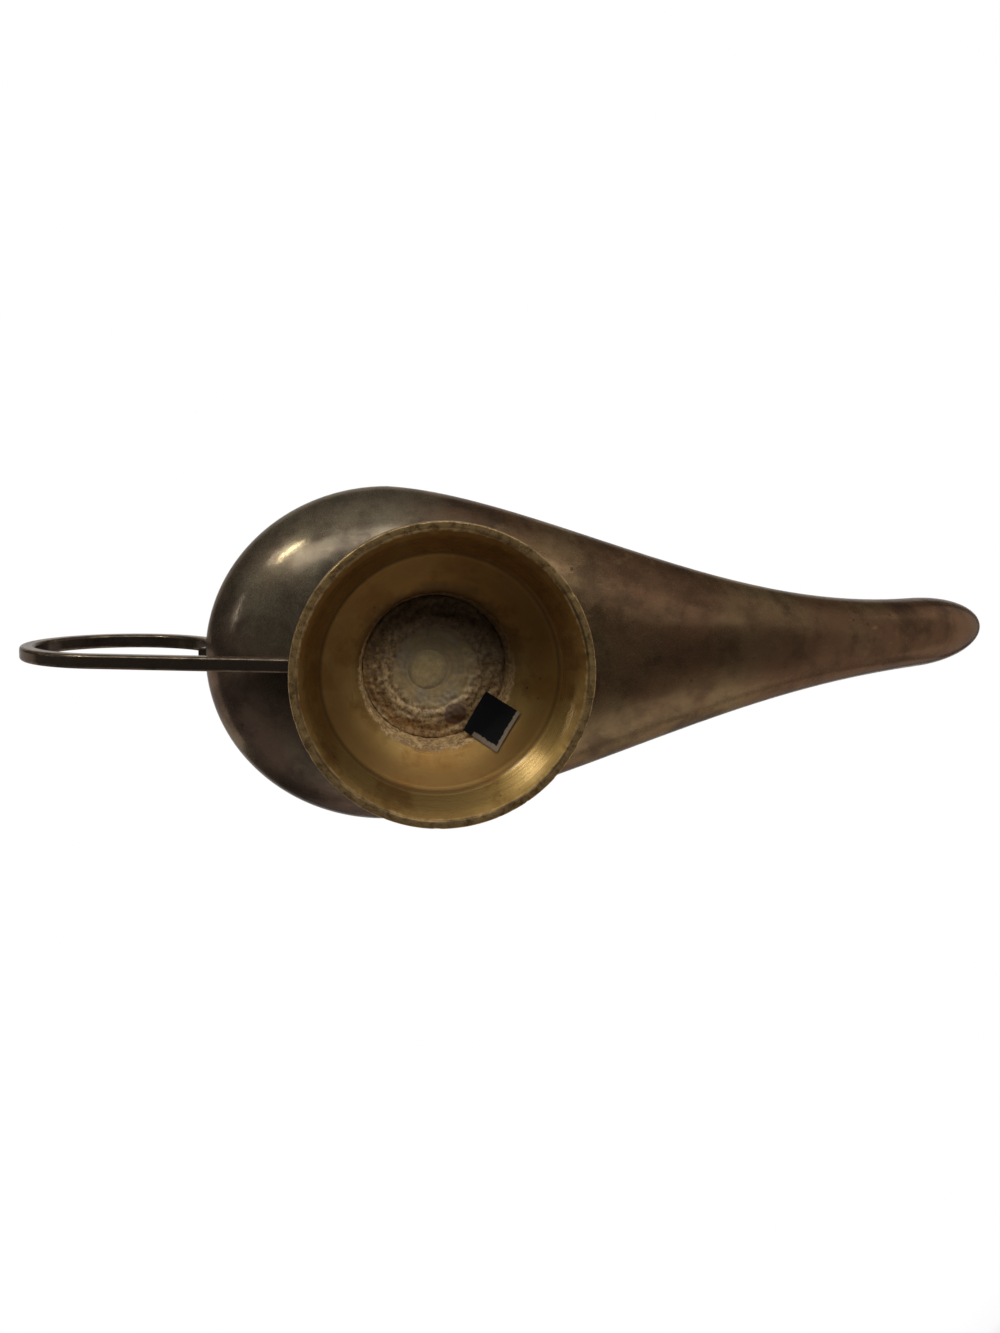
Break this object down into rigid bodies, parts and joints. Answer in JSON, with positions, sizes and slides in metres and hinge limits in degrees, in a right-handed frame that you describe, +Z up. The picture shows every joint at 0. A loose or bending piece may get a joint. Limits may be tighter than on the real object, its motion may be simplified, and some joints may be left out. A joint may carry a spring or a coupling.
{
  "type": "genie oil lamp",
  "caption": "Teardrop brass oil lamp on a flared hollow foot, with a long rising spout, a ring handle at the back and a domed lift-off lid; a hole in the spout takes the wick.",
  "frame": {"origin": "centre of the foot's rim, on the surface that the lamp stands on", "axes": "+X towards the spout, +Z up; the XZ plane is the lamp's plane of symmetry"},
  "size_m": [0.2372, 0.072, 0.0919],
  "materials": {
    "tarnished_brass": "brown tarnish over polished cast brass",
    "turned_brass": "lathe-turned, lightly tarnished",
    "dull_brass": "peened, dull",
    "solder": "rough, grey-brown, as it ran",
    "blackened_brass": "nearly black tarnish",
    "label_paper": "matt black print on pale paper"
  },
  "bodies": {
    "lamp": {"body_lower": "tarnished_brass", "body_upper": "tarnished_brass", "foot": "turned_brass", "foot_rivet": "dull_brass", "foot_solder": "solder", "handle": "blackened_brass", "mouth_collar": "tarnished_brass", "label": "label_paper"},
    "lid": {"lid": "tarnished_brass", "lid_finial": "tarnished_brass"}
  },
  "joints": [
    {"name": "lid_lift", "type": "slide", "parent": "lamp", "child": "lid", "axis": [0, 0, 1], "range_m": [0, 0.05]}
  ]
}
